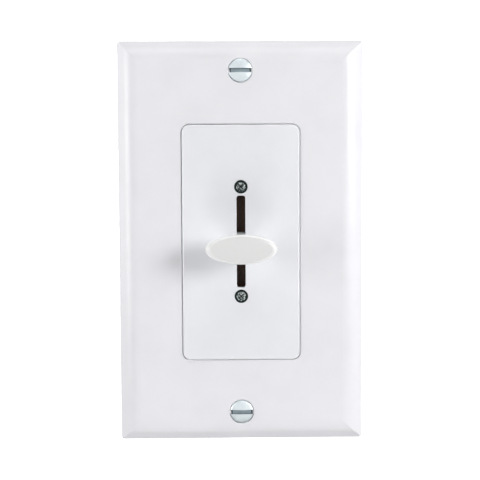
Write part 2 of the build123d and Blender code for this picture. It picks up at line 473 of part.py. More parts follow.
# ---- Circuit board and what is on it -----------------------------------------------------------
def circuit_board():
    board = rounded(BOARD_WIDTH, BOARD_HEIGHT, BOARD_CORNER, BOARD_FRONT, BOARD_BACK)
    notch = 2 * BOARD_NOTCH
    for side in SIGNS:
        for up in SIGNS:
            board -= pad(side * BOARD_WIDTH / 2, up * BOARD_HEIGHT / 2, notch, notch, 0, BEYOND)
    for x, z in BOARD_SCREW_SPOTS:
        board -= rod(BOARD_SCREW_HOLE, 0, BEYOND, x, z)
    leads = POT_PIN_SPOTS + LEG_SPOTS + CAPACITOR_LEAD_SPOTS + FUSE_LEAD_SPOTS + DIODE_LEAD_SPOTS
    for x, z in leads + TRIM_LEAD_SPOTS:
        board -= rod(LEAD + LEAD_ROOM, 0, BEYOND, x, z)
    room = 2 * PIN_HOLE_ROOM
    for x in POLE_XS:
        board -= pad(x, PIN_Z, PIN_WIDTH + room, PIN_THICKNESS + room, 0, BEYOND)
    return board


def board_screw(x, z):
    top = BOARD_FRONT - BOARD_SCREW_HEAD_HEIGHT
    return pan_screw(M2_RADIUS, BOARD_SCREW_HEAD, top, BOARD_SCREW_HEAD_HEIGHT, TRAY_BACK - 0.8, x, z)


def heat_sink():
    """Extruded channel on four feet, with grooves down the outside of its walls."""
    half, inner = SINK_WIDTH / 2, SINK_WIDTH / 2 - SINK_SHEET
    sink = block(SINK_X - half, SINK_X + half, SINK_FRONT, SINK_BACK, SINK_LOW, SINK_HIGH)
    sink -= block(SINK_X - inner, SINK_X + inner, TAB_SEAT, BEYOND, -BEYOND, BEYOND)
    for side in SIGNS:
        for z in (SINK_LOW, SINK_HIGH - SINK_FOOT_WIDTH):
            sink += block(SINK_X + side * inner, SINK_X + side * half, BOARD_BACK, SINK_FRONT,
                          z, z + SINK_FOOT_WIDTH)
        for i in range(SINK_GROOVES):
            x, z = SINK_X + side * half, SINK_LOW + 3 + i * SINK_GROOVE_PITCH
            sink -= pad(x, z, 2 * SINK_GROOVE_DEPTH, SINK_GROOVE_WIDTH, TAB_SEAT + 1, BEYOND)
    return sink - rod(M3_RADIUS + THREAD_ROOM, 0, BEYOND, SINK_X, TAB_HOLE_Z)


def mosfet():
    tab_low = BODY_HIGH - 1
    tab = pad(SINK_X, (tab_low + TAB_HIGH) / 2, TAB_WIDTH, TAB_HIGH - tab_low, TAB_SEAT, TAB_SEAT + TAB_SHEET)
    tab -= rod(TAB_HOLE, 0, BEYOND, SINK_X, TAB_HOLE_Z)
    body_z, body_height = (BODY_LOW + BODY_HIGH) / 2, BODY_HIGH - BODY_LOW
    body = pad(SINK_X, body_z, TAB_WIDTH, body_height, TAB_SEAT, TAB_SEAT + BODY_DEPTH)
    part = tab + chamfer(back_face(body).edges(), 0.5)
    leg_y = TAB_SEAT + LEG_RISE
    for x in LEG_XS:
        part += block(x - 0.3, x + 0.3, leg_y, leg_y + LEG_SHEET, LEG_Z - LEG_SHEET / 2, BODY_LOW + 0.5)
        part += pad(x, LEG_Z, LEG_SHEET, LEG_SHEET, LEAD_END, leg_y + LEG_SHEET)
    return part


def heat_sink_screw():
    top = TAB_SEAT + TAB_SHEET + M3_HEAD_HEIGHT
    return pan_screw(M3_RADIUS, M3_HEAD, top, M3_HEAD_HEIGHT, SINK_FRONT, SINK_X, TAB_HOLE_Z)


def bulk_capacitor():
    """Electrolytic can with a rolled groove near its base."""
    r, base = CAPACITOR_RADIUS, BOARD_BACK + 0.2
    top = base + CAPACITOR_HEIGHT
    can = turned([(0, base), (r - 0.4, base), (r, base + 0.4), (r, base + 1.6), (r - 0.4, base + 2.1),
                  (r, base + 2.6), (r, top - 0.6), (r - 0.6, top), (0, top)], CAPACITOR_X, CAPACITOR_Z)
    for x, z in CAPACITOR_LEAD_SPOTS:
        can += lead(x, z, base + 0.5)
    return can


def resettable_fuse():
    y = BOARD_BACK + 1.6 + FUSE_RADIUS
    disc = Pos(FUSE_X, y, FUSE_Z) * Cylinder(FUSE_RADIUS, FUSE_THICKNESS)
    disc = fillet(disc.edges(), 0.7)
    for x, z in FUSE_LEAD_SPOTS:
        disc += lead(x, z, y - 1)
    return disc


def protection_diode():
    y = BOARD_BACK + DIODE_RADIUS + 0.3
    diode = across_x(DIODE_RADIUS, DIODE_LENGTH, DIODE_X, y, DIODE_Z)
    diode += across_x(LEAD, 2 * (DIODE_LEAD + LEAD), DIODE_X, y, DIODE_Z)
    for x, z in DIODE_LEAD_SPOTS:
        diode += lead(x, z, y)
    return diode


def gull_wing_chip(x, z, leg_pitch, legs, leg_width):
    """Moulded chip with a row of bent legs on its upper and lower side."""
    chip = pad(x, z, CHIP_LONG, CHIP_WIDE, BOARD_BACK + 0.15, BOARD_BACK + CHIP_DEPTH)
    chip = chamfer(back_face(chip).edges(), 0.2)
    edge, shoulder, sheet = CHIP_WIDE / 2, BOARD_BACK + CHIP_DEPTH / 2, CHIP_LEG_SHEET
    for up in SIGNS:
        for i in range(legs):
            leg_x = x + (i - (legs - 1) / 2) * leg_pitch
            chip += pad(leg_x, z + up * (edge + 0.15), leg_width, 0.7, shoulder - sheet, shoulder)
            chip += pad(leg_x, z + up * (edge + 0.4), leg_width, sheet, BOARD_BACK, shoulder)
            chip += pad(leg_x, z + up * (edge + 0.65), leg_width, 0.7, BOARD_BACK, BOARD_BACK + sheet)
    return chip


def chip_resistor(x, z):
    long, wide, depth = RESISTOR_SIZE
    return pad(x, z, long, wide, BOARD_BACK, BOARD_BACK + depth)


def ceramic_capacitor(x, z):
    long, wide, depth = CERAMIC_SIZE
    return pad(x, z, long, wide, BOARD_BACK, BOARD_BACK + depth)


def trimmer_body():
    body = pad(TRIM_X, TRIM_Z, TRIM_SIZE, TRIM_SIZE, BOARD_BACK, TRIM_BACK)
    body = chamfer(back_face(body).edges(), 0.4)
    body -= rod(TRIM_ROTOR + TRIM_ROOM, TRIM_BACK - TRIM_ROTOR_DEPTH, BEYOND, TRIM_X, TRIM_Z)
    for x, z in TRIM_LEAD_SPOTS:
        body += lead(x, z, BOARD_BACK + 0.5)
    return body


def trimmer_rotor():
    """Slotted disc whose slot is an arrow: a cross-piece at one end shows where it points."""
    rotor = rod(TRIM_ROTOR, TRIM_BACK - TRIM_ROTOR_DEPTH + TRIM_ROOM, TRIM_BACK + 0.2, TRIM_X, TRIM_Z)
    rotor = chamfer(rotor.edges().sort_by(Axis.Y)[-1], 0.2)
    rotor -= pad(TRIM_X, TRIM_Z, 3.0, 0.6, TRIM_BACK - 0.7, BEYOND)
    return rotor - pad(TRIM_X + 0.9, TRIM_Z, 0.6, 1.6, TRIM_BACK - 0.7, BEYOND)


# ---- Terminal block ----------------------------------------------------------------------------
def terminal_block():
    body = block(BLOCK_LEFT, BLOCK_RIGHT, BOARD_BACK, BLOCK_BACK, BLOCK_LOW, BLOCK_HIGH)
    body = chamfer(back_face(body).edges().filter_by(Axis.X), BLOCK_CHAMFER)
    bay_width, bay_height = CAGE_WIDTH + 2 * CLAMP_ROOM, CAGE_DEPTH + 2 * CLAMP_ROOM
    bay_back = CAGE_BACK + CAGE_TRAVEL + CLAMP_ROOM
    for x in POLE_XS:
        body -= pad(x, POLE_Z, bay_width, bay_height, CAGE_LOW - CLAMP_ROOM, bay_back)
        body -= rod(CLAMP_HEAD + CLAMP_ROOM, bay_back - 0.5, BEYOND, x, POLE_Z)
        body -= wire_entry(x)
        # The contact bar's slot: it starts below the bay and ends at the leg
        bar_low = POLE_Z - bay_height / 2 - BAR_OVERLAP
        bar_high = PIN_Z + PIN_THICKNESS / 2
        body -= block(x - BAR_WIDTH / 2, x + BAR_WIDTH / 2, BAR_LOW, BAR_BACK, bar_low, bar_high)
        body -= pad(x, PIN_Z, PIN_WIDTH, PIN_THICKNESS, 0, BAR_BACK)
    return body


def wire_entry(x):
    """Cutter for a round wire entry from below, with a funnel at its mouth."""
    depth = POLE_Z - BLOCK_LOW + 0.02
    entry = Pos(x, WIRE_ENTRY_Y, BLOCK_LOW + depth / 2 - 0.01) * Cylinder(WIRE_ENTRY, depth)
    funnel = Cone(WIRE_ENTRY + ENTRY_FUNNEL, WIRE_ENTRY, ENTRY_FUNNEL)
    return entry + Pos(x, WIRE_ENTRY_Y, BLOCK_LOW + ENTRY_FUNNEL / 2) * funnel


def terminal_pin(x):
    """Contact bar through the cage, with a leg that is soldered to the circuit board."""
    bar_low, bar_high = POLE_Z - CAGE_DEPTH / 2 - BAR_OVERLAP, PIN_Z + PIN_THICKNESS / 2
    bar = block(x - BAR_WIDTH / 2, x + BAR_WIDTH / 2, BAR_LOW, BAR_BACK, bar_low, bar_high)
    return bar + pad(x, PIN_Z, PIN_WIDTH, PIN_THICKNESS, LEAD_END, BAR_BACK)


def terminal_cage(x):
    """Cage that the screw draws up, so that its floor presses the wire against the contact bar."""
    cage = pad(x, POLE_Z, CAGE_WIDTH, CAGE_DEPTH, CAGE_LOW, CAGE_BACK)
    cage -= pad(x, POLE_Z, BAR_WIDTH + 2 * CLAMP_ROOM, BEYOND, CAGE_LOW + CAGE_FLOOR, BAR_BACK)
    return cage - rod(CLAMP_THREAD + CLAMP_ROOM, BAR_LOW - CAGE_TRAVEL, BEYOND, x, POLE_Z)


def terminal_screw(x):
    """M3 clamp screw: it bears on the contact bar and turns in the cage's top."""
    tip, seat, top = BAR_BACK + 0.02, CLAMP_HEAD_LOW, CLAMP_HEAD_LOW + CLAMP_HEAD_HEIGHT
    outline = [(0, tip), (CLAMP_THREAD - 0.3, tip), (CLAMP_THREAD, tip + 0.3), (CLAMP_THREAD, seat),
               (CLAMP_HEAD, seat), (CLAMP_HEAD, top - 0.2), (CLAMP_HEAD - 0.2, top), (0, top)]
    screw = turned(outline, x, POLE_Z)
    return screw - pad(x, POLE_Z, 3 * CLAMP_HEAD, CLAMP_SLOT, top - CLAMP_SLOT_DEPTH, BEYOND)


# ---- Rear housing ------------------------------------------------------------------------------
def rear_housing():
    wall = 2 * HOUSING_WALL
    tower_z, tower_height = (TOWER_LOW + TOWER_HIGH) / 2, TOWER_HIGH - TOWER_LOW
    tower_width = 2 * TOWER_HALF_WIDTH
    tray = rounded(HOUSING_WIDTH, HOUSING_HEIGHT, HOUSING_CORNER, STRAP_BACK, TRAY_BACK)
    tower = rounded(tower_width, tower_height, TOWER_CORNER, TRAY_BACK - 1, TOWER_BACK, 0, tower_z)
    housing = fillet(back_face(tray).edges(), HOUSING_ROUND) + fillet(back_face(tower).edges(), TOWER_ROUND)
    housing -= rounded(HOUSING_WIDTH - wall, HOUSING_HEIGHT - wall, 1.0, -BEYOND, TRAY_INSIDE)
    housing -= rounded(tower_width - wall, tower_height - wall, 0.8, 0, TOWER_INSIDE, 0, tower_z)
    for x, z in HOUSING_SCREW_SPOTS:
        housing += rod(HOUSING_BOSS, STRAP_BACK, TRAY_INSIDE + 0.5, x, z)
        housing -= rod(HOUSING_SCREW + 0.1, -BEYOND, BEYOND, x, z)
    for x, z in BOARD_SCREW_SPOTS:
        housing += rod(POST_RADIUS, BOARD_BACK, TRAY_INSIDE + 0.5, x, z)
        housing -= rod(M2_RADIUS + 0.03, BOARD_BACK - 1, TRAY_BACK - 0.5, x, z)
    room = 2 * OPENING_ROOM
    block_x, block_z = (BLOCK_LEFT + BLOCK_RIGHT) / 2, (BLOCK_LOW + BLOCK_HIGH) / 2
    housing -= pad(block_x, block_z, BLOCK_RIGHT - BLOCK_LEFT + room, BLOCK_HIGH - BLOCK_LOW + room,
                   TRAY_INSIDE - 1, BEYOND)
    housing -= pad(TRIM_X, TRIM_Z, TRIM_SIZE + room, TRIM_SIZE + room, TRAY_INSIDE - 1, BEYOND)
    for i in range(VENTS):
        # Vents through the back of the tower and through both of its sides
        z = tower_z + (i - (VENTS - 1) / 2) * VENT_PITCH
        housing -= slab(Pos(0, z) * SlotOverall(VENT_LENGTH, VENT_WIDTH), TOWER_INSIDE - 1, BEYOND)
        for side in SIGNS:
            housing -= pad(side * TOWER_HALF_WIDTH, z, 6, VENT_WIDTH, SIDE_VENT_LOW, SIDE_VENT_HIGH)
    return housing


def housing_screw(x, z):
    top, tip = TRAY_BACK + HOUSING_SCREW_HEAD_HEIGHT, STRAP_FRONT + 0.1
    return pan_screw(HOUSING_SCREW, HOUSING_SCREW_HEAD, top, HOUSING_SCREW_HEAD_HEIGHT, tip, x, z)


# ---- Writing the sub-parts ---------------------------------------------------------------------
def group(make, spots):
    """Identical separate solids that share one sub-part."""
    return Compound(children=[make(*spot) for spot in spots])


SUB_PARTS = {
    "wall_plate": wall_plate(),
    "plate_screws": group(plate_screw, PLATE_SCREW_SPOTS),
    "mounting_strap": mounting_strap(),
    "box_screws": group(box_screw, BOX_SCREW_SPOTS),
    "screw_retainers": group(screw_retainer, BOX_SCREW_SPOTS),
    "front_insert": front_insert(),
    "potentiometer_screws": group(potentiometer_screw, POT_SCREW_SPOTS),
    "pot_frame": pot_frame(),
    "pot_element_board": pot_element_board(),
    "pot_resistive_tracks": group(pot_track, [(TRACK_XS[0],), (TRACK_XS[3],)]),
    "pot_collector_tracks": group(pot_track, [(TRACK_XS[1],), (TRACK_XS[2],)]),
    "pot_terminals": group(pot_terminal, POT_PIN_SPOTS),
    "pot_carriage": pot_carriage(),
    "pot_lever": pot_lever(),
    "level_wiper": pot_wiper(TRACK_XS[0], TRACK_XS[1]),
    "off_wiper": pot_wiper(TRACK_XS[2], TRACK_XS[3]),
    "slide_knob": slide_knob(),
    "circuit_board": circuit_board(),
    "board_screws": group(board_screw, BOARD_SCREW_SPOTS),
    "heat_sink": heat_sink(),
    "mosfet": mosfet(),
    "heat_sink_screw": heat_sink_screw(),
    "bulk_capacitor": bulk_capacitor(),
    "resettable_fuse": resettable_fuse(),
    "protection_diode": protection_diode(),
    "driver_ic": gull_wing_chip(DRIVER_X, DRIVER_Z, leg_pitch=1.27, legs=4, leg_width=0.42),
    "voltage_regulator": gull_wing_chip(REGULATOR_X, REGULATOR_Z, leg_pitch=2.3, legs=2, leg_width=0.7),
    "chip_resistors": group(chip_resistor, RESISTOR_SPOTS),
    "ceramic_capacitors": group(ceramic_capacitor, CERAMIC_SPOTS),
    "trimmer_body": trimmer_body(),
    "trimmer_rotor": trimmer_rotor(),
    "terminal_block": terminal_block(),
    "terminal_pins": group(terminal_pin, [(x,) for x in POLE_XS]),
    "rear_housing": rear_housing(),
    "housing_screws": group(housing_screw, HOUSING_SCREW_SPOTS),
}
for number, pole_x in enumerate(POLE_XS, start=1):
    SUB_PARTS[f"terminal_cage_{number}"] = terminal_cage(pole_x)
    SUB_PARTS[f"terminal_screw_{number}"] = terminal_screw(pole_x)

os.makedirs("parts", exist_ok=True)
for name, shape in SUB_PARTS.items():
    export_step(shape, f"parts/{name}.step")
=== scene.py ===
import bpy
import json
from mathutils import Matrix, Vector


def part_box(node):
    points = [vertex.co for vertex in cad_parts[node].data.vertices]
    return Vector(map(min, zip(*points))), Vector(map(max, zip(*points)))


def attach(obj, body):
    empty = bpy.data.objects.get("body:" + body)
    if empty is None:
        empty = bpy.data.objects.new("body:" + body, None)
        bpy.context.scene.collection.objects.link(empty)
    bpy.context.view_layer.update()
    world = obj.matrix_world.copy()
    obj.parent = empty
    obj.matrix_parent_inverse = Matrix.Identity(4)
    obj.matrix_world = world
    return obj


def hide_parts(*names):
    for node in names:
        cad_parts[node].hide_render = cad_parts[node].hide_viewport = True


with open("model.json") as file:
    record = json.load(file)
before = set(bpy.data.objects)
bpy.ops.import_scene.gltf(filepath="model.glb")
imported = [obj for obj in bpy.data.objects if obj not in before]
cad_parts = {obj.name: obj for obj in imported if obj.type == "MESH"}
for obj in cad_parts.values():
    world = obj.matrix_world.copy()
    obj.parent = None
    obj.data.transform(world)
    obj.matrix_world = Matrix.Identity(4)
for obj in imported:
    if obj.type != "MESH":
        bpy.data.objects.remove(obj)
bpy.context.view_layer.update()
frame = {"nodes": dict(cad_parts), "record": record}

# Looks for the slide dimmer: materials, finer meshes for the pieces that show, the studio and the camera.
# The frame is the CAD's: the face looks along -Y, +X is to its right and +Z is up. Lengths in this script
# are in millimetres, and MM turns them into Blender's metres. Places are worked out from the CAD nodes.
import json
from math import atan2, ceil, cos, hypot, pi, radians, sin, sqrt, tau

import bmesh
import bpy
from mathutils import Matrix, Vector

MM = 0.001
KNOB_RIM_START = 0.83       # where the knob's rim starts, as a share of the way out from its middle
RECORD = frame["record"]
SLOT_COLOUR = {slot["slot"]: slot["base_color"] for slot in RECORD["materials"]}
BODY_OF = {node: body for body, nodes in RECORD["behaviour"]["bodies"].items() for node in nodes}


# ---- Places in the CAD -------------------------------------------------------------------------
def solids(node):
    """The lowest and highest corner of each separate solid of a CAD node, in millimetres."""
    mesh_data = bmesh.new()
    mesh_data.from_mesh(frame["nodes"][node].data)
    bmesh.ops.remove_doubles(mesh_data, verts=mesh_data.verts, dist=0.002 * MM)
    found = []
    for first in mesh_data.verts:
        if first.tag:
            continue
        first.tag = True
        island, waiting = [], [first]
        while waiting:
            here = waiting.pop()
            island.append(here.co / MM)
            for edge in here.link_edges:
                there = edge.other_vert(here)
                if not there.tag:
                    there.tag = True
                    waiting.append(there)
        found.append([Vector([pick(co[axis] for co in island) for axis in range(3)]) for pick in (min, max)])
    mesh_data.free()
    return found


BOARD_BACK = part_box("circuit_board")[1].y / MM
TRANSISTOR_BODY = (5.8, 14.8)       # lower and upper end of its moulded body
CHIP_LEG_REACH, DIODE_LEAD_REACH = 1.0, 2.3     # how far legs and leads stand out of their bodies


# ---- Materials ---------------------------------------------------------------------------------
class Look:
    """One Principled material, whose textures lie in millimetres of the row frame."""

    def __init__(self, name, roughness, metallic=0.0, colour=None, **sockets):
        self.material = bpy.data.materials.new(name)
        self.material.use_nodes = True
        self.tree = self.material.node_tree
        self.shader = self.tree.nodes["Principled BSDF"]
        self.colour = list(colour or SLOT_COLOUR[name])
        self.shader.inputs["Base Color"].default_value = self.colour + [1]
        self.shader.inputs["Roughness"].default_value = roughness
        self.shader.inputs["Metallic"].default_value = metallic
        for socket, value in sockets.items():
            self.shader.inputs[socket.replace("_", " ")].default_value = value
        where = self.tree.nodes.new("ShaderNodeTexCoord")
        self.place = self.stretched((1, 1, 1), where.outputs["Object"])

    def node(self, kind, settings=None, **inputs):
        """A new node. Inputs are values, or sockets to link from."""
        new = self.tree.nodes.new(kind)
        for name, value in (settings or {}).items():
            setattr(new, name, value)
        for name, value in inputs.items():
            socket = new.inputs[int(name[1:])] if name[1:].isdigit() else new.inputs[name.replace("_", " ")]
            if isinstance(value, bpy.types.NodeSocket):
                self.tree.links.new(value, socket)
            else:
                socket.default_value = value
        return new

    def stretched(self, by, source=None):
        """The place, in millimetres, multiplied along each axis."""
        scale = [factor / MM if source else factor for factor in by]
        new = self.node("ShaderNodeVectorMath", {"operation": "MULTIPLY"}, _0=source or self.place, _1=scale)
        return new.outputs[0]

    def noise(self, size, detail=3.0, stretch=None, distortion=0.0):
        """Soft noise with features about `size` millimetres across."""
        where = self.stretched(stretch) if stretch else self.place
        new = self.node("ShaderNodeTexNoise", Vector=where, Scale=1 / size, Detail=detail,
                        Distortion=distortion)
        return new.outputs["Fac"]

    def cells(self, size, feature="F1", output="Distance", stretch=None):
        """Voronoi cells about `size` millimetres across."""
        where = self.stretched(stretch) if stretch else self.place
        new = self.node("ShaderNodeTexVoronoi", {"feature": feature}, Vector=where, Scale=1 / size)
        return new.outputs[output]

    def axis(self, letter):
        """One coordinate of the place, in millimetres."""
        return self.node("ShaderNodeSeparateXYZ", Vector=self.place).outputs[letter]

    def from_line(self, x, z):
        """Distance from a line along Y, in millimetres."""
        flat = self.stretched((1, 0, 1))
        new = self.node("ShaderNodeVectorMath", {"operation": "DISTANCE"}, _0=flat, _1=(x, 0, z))
        return new.outputs["Value"]

    def maths(self, operation, a, b=0.0):
        return self.node("ShaderNodeMath", {"operation": operation}, _0=a, _1=b).outputs[0]

    def remap(self, value, low, high, to_low=0.0, to_high=1.0):
        new = self.node("ShaderNodeMapRange", {"interpolation_type": "SMOOTHSTEP"}, Value=value,
                        From_Min=low, From_Max=high, To_Min=to_low, To_Max=to_high)
        return new.outputs["Result"]

    def within(self, letter, low, high):
        """1 where a coordinate lies between two places, in millimetres, and 0 elsewhere."""
        off = self.maths("ABSOLUTE", self.maths("SUBTRACT", self.axis(letter), (low + high) / 2))
        return self.maths("LESS_THAN", off, (high - low) / 2)

    def tint(self, amount, colour):
        """Lays a colour over the base colour, as far as `amount` says from point to point."""
        base = self.shader.inputs["Base Color"]
        under = base.links[0].from_socket if base.is_linked else list(base.default_value)
        mix = self.node("ShaderNodeMix", {"data_type": "RGBA"}, _0=amount, _6=under, _7=list(colour) + [1])
        self.tree.links.new(mix.outputs[2], base)
        return self

    def shade(self, value, low, high, dark):
        """Darkens or lightens the base colour by up to `dark` where a texture runs from low to high."""
        return self.tint(self.remap(value, low, high), [min(1.0, c * dark) for c in self.colour])

    def rough(self, value, low, high):
        """Roughness that runs from low to high with a texture."""
        self.tree.links.new(self.remap(value, 0.3, 0.7, low, high), self.shader.inputs["Roughness"])
        return self

    def refinish(self, where, colour, roughness=0.3, metallic=1.0):
        """Gives the places where `where` is 1 another colour, roughness and metal."""
        self.tint(where, colour)
        for name, value in (("Roughness", roughness), ("Metallic", metallic)):
            socket = self.shader.inputs[name]
            under = socket.links[0].from_socket if socket.is_linked else socket.default_value
            mix = self.node("ShaderNodeMix", _0=where, _2=under, _3=value)
            self.tree.links.new(mix.outputs[0], socket)
        return self

    def bump(self, value, height):
        """Relief of that height, in millimetres, over what is there already."""
        normal = self.shader.inputs["Normal"]
        new = self.node("ShaderNodeBump", Height=value, Strength=1.0, Distance=height * MM)
        if normal.is_linked:
            self.tree.links.new(normal.links[0].from_socket, new.inputs["Normal"])
        self.tree.links.new(new.outputs[0], normal)
        return self


def moulded(name, roughness, grain=0.25, height=0.004, spread=0.04, dirt=0.97, **options):
    """Injection-moulded plastic: a fine sparked grain, slow waves of sink, and faint handling marks."""
    look = Look(name, roughness, **options)
    look.shade(look.noise(9, 4), 0.35, 0.75, dirt)
    look.shade(look.noise(0.6, 2, distortion=0.4), 0.55, 0.8, 1 - (1 - dirt) / 2)
    look.rough(look.noise(2.2, 5, distortion=0.3), roughness - spread, roughness + spread)
    look.bump(look.noise(14, 1), 0.02)
    look.bump(look.noise(grain, 2), height)
    return look


def plated(name, roughness, along=(1, 1, 1), brushing=0.003, spangle=4.0, **options):
    """Plated steel: brushing or rolling lines along one axis, patches of dulled plating, small pits."""
    look = Look(name, roughness, 1.0, **options)
    look.shade(look.cells(spangle, output="Color"), 0.2, 0.8, 0.93)
    look.shade(look.noise(3.5, 5), 0.5, 0.75, 0.86)
    lines = look.noise(0.25, 3, stretch=along)
    look.rough(look.noise(1.1, 5), roughness - 0.06, roughness + 0.1)
    look.bump(lines, brushing)
    look.bump(look.remap(look.cells(0.9), 0.0, 0.12), 0.004)
    return look


def laminate(name, roughness, fibre=(0.2, 1, 1), dark=0.7, **options):
    """Pressed paper or fibre sheet: short fibres, speckles and a slightly uneven face."""
    look = Look(name, roughness, **options)
    look.shade(look.noise(0.35, 5, stretch=fibre), 0.4, 0.65, dark)
    look.shade(look.cells(0.5, output="Color"), 0.3, 0.8, 0.85)
    look.rough(look.noise(0.8, 4), roughness - 0.08, roughness + 0.08)
    look.bump(look.noise(0.3, 4, stretch=fibre), 0.012)
    return look


def solder_mask(name):
    """Green solder mask over copper tracks, with the glass weave showing faintly."""
    look = Look(name, 0.28, Coat_Weight=0.35, Coat_Roughness=0.12)
    half_track = 0.45
    upright = look.maths("PINGPONG", look.axis("X"), 1.27)
    level = look.maths("PINGPONG", look.axis("Z"), 1.9)
    zones = look.remap(look.noise(7, 0), 0.47, 0.5)
    either = look.node("ShaderNodeMix", _0=zones, _2=upright, _3=level).outputs[0]
    tracks = look.maths("LESS_THAN", either, half_track)
    look.tint(look.maths("MULTIPLY", tracks, 0.55), (0.06, 0.36, 0.13))
    weave = look.maths("ADD", *[look.maths("PINGPONG", look.axis(letter), 0.25) for letter in "XZ"])
    look.shade(weave, 0.1, 0.45, 0.85)
    look.rough(look.noise(1.5, 4), 0.22, 0.36)
    look.bump(tracks, 0.03)
    look.bump(weave, 0.004)
    facing = look.node("ShaderNodeSeparateXYZ", Vector=look.node("ShaderNodeTexCoord").outputs["Normal"])
    cut_edges = look.maths("LESS_THAN", look.maths("ABSOLUTE", facing.outputs["Y"]), 0.5)
    return look.refinish(cut_edges, (0.42, 0.4, 0.2), 0.7, 0.0)


def knob_plastic():
    """Glossy white plastic, whose face inside the rim gets a darker base colour: painted shade that leaves
    the rim as a painted highlight.
    """
    look = moulded("knob_plastic", 0.25, grain=0.3, height=0.002, spread=0.012, dirt=0.99,
                   colour=(0.85, 0.85, 0.845))
    low, high = [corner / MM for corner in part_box("slide_knob")]
    reach = 0.0
    for letter, axis in (("X", 0), ("Z", 2)):
        middle, half = (low[axis] + high[axis]) / 2, (high[axis] - low[axis]) / 2
        share = look.maths("DIVIDE", look.maths("SUBTRACT", look.axis(letter), middle), half)
        reach = look.maths("ADD", look.maths("MULTIPLY", share, share), reach)
    # Painted shade: a darker base colour over the face inside the rim, in front only, so the rim looks lit.
    inside = look.remap(reach, KNOB_RIM_START ** 2, (KNOB_RIM_START + 0.05) ** 2, 1, 0)
    in_front = look.maths("LESS_THAN", look.axis("Y"), low.y + 1.0)
    look.tint(look.maths("MULTIPLY", inside, in_front), (0.74, 0.74, 0.735))
    return look


def worn_steel():
    """Blackened steel with bright streaks laid over its colour: painted glints."""
    look = plated("worn_steel", 0.3, spangle=0.5, colour=(0.05, 0.062, 0.06))
    # Painted glints: bright noise streaks over the black base colour.
    look.tint(look.remap(look.noise(0.5, 2, distortion=1.5), 0.47, 0.55), (0.62, 0.68, 0.68))
    return look


TIN, ALUMINIUM, ALUMINA = (0.72, 0.71, 0.68), (0.74, 0.75, 0.76), (0.78, 0.77, 0.74)


def epoxy(name, grain=0.12):
    return moulded(name, 0.55, grain=grain, height=0.01, dirt=0.8, colour=SLOT_COLOUR["chip_epoxy"])


def transistor_finish():
    """Moulded body between a tinned tab above it and tinned legs below it."""
    look = epoxy("transistor_finish")
    outside = look.maths("SUBTRACT", 1.0, look.within("Z", *TRANSISTOR_BODY))
    return look.refinish(outside, TIN)


def chip_finish(node):
    """Moulded body between two rows of tinned legs, with a moulding mark beside its first leg."""
    look = epoxy(node + "_finish")
    low, high = [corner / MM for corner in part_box(node)]
    body = look.within("Z", low.z + CHIP_LEG_REACH, high.z - CHIP_LEG_REACH)
    mark = look.remap(look.from_line(high.x - 0.8, high.z - CHIP_LEG_REACH - 0.8), 0.3, 0.4, 1, 0)
    look.shade(mark, 0, 1, 0.5)
    look.bump(look.maths("SUBTRACT", 1.0, mark), 0.05)
    return look.refinish(look.maths("SUBTRACT", 1.0, body), TIN)


def diode_finish():
    """Moulded barrel with a pale band at one end, on tinned leads."""
    look = epoxy("diode_finish", grain=0.2)
    low, high = [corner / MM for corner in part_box("protection_diode")]
    left, right = low.x + DIODE_LEAD_REACH, high.x - DIODE_LEAD_REACH
    look.tint(look.within("X", right - 1.6, right - 0.7), (0.6, 0.6, 0.58))
    leads = look.maths("SUBTRACT", 1.0, look.within("X", left, right))
    return look.refinish(leads, TIN)


def capacitor_finish():
    """Shrink sleeve with a pale stripe, a bare scored end and tinned leads."""
    look = moulded("capacitor_finish", 0.3, grain=0.5, height=0.01, dirt=0.8,
                   colour=SLOT_COLOUR["capacitor_sleeve"])
    low, high = [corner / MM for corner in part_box("bulk_capacitor")]
    middle, radius = (low + high) / 2, (high.x - low.x) / 2
    on_side = look.within("X", low.x - 1, middle.x)
    stripe = look.maths("MULTIPLY", on_side, look.within("Z", middle.z - 1.5, middle.z + 1.5))
    look.tint(stripe, (0.5, 0.53, 0.56))
    near = look.maths("LESS_THAN", look.from_line(middle.x, middle.z), radius - 0.9)
    end = look.maths("MULTIPLY", near, look.within("Y", high.y - 0.1, high.y + 0.1))
    upright, level = [look.within(letter, place - 0.12, place + 0.12)
                      for letter, place in (("X", middle.x), ("Z", middle.z))]
    look.bump(look.maths("SUBTRACT", 1.0, look.maths("MAXIMUM", upright, level)), 0.1)
    look.refinish(end, ALUMINIUM)
    return look.refinish(look.within("Y", low.y - 1, BOARD_BACK + 0.15), TIN)


def leaded(name, roughness, lead_end, **options):
    """A moulded or dipped part whose leads are tinned up to that depth."""
    look = moulded(name, roughness, **options)
    return look.refinish(look.within("Y", 0, lead_end), TIN)


def end_caps(name, node, letter, reach, faces, **options):
    """Chips with tinned ends, and a face of another colour than their sides."""
    look = moulded(name, **options)
    chips = solids(node)
    ceramic = 0.0
    for low, high in chips:
        middle, half = (low + high) / 2, (high - low) / 2
        share = 1.0
        for axis, name_of_axis in ((0, "X"), (2, "Z")):
            room = half[axis] - reach if name_of_axis == letter else half[axis] + 0.1
            inside = look.within(name_of_axis, middle[axis] - room, middle[axis] + room)
            share = look.maths("MULTIPLY", inside, share)
        ceramic = look.maths("ADD", share, ceramic)
    top = max(high.y for low, high in chips)
    look.tint(look.within("Y", 0, top - 0.06), faces)
    return look.refinish(look.maths("SUBTRACT", 1.0, ceramic), TIN)


def plate_slot():
    """Rougher plating in the slots of the plate's screws, painted darker as shade, and near black at both
    ends as a painted shadow.
    """
    look = plated("plate_slot", 0.6, along=(0.1, 1, 1), brushing=0.01, spangle=1.0, colour=(0.36, 0.43, 0.46))
    to_end = look.maths("ABSOLUTE", look.axis("X"))
    # Painted shadow: the slot goes near black towards both ends.
    look.tint(look.remap(to_end, 2.5, 2.9), (0.012, 0.016, 0.017))
    return look


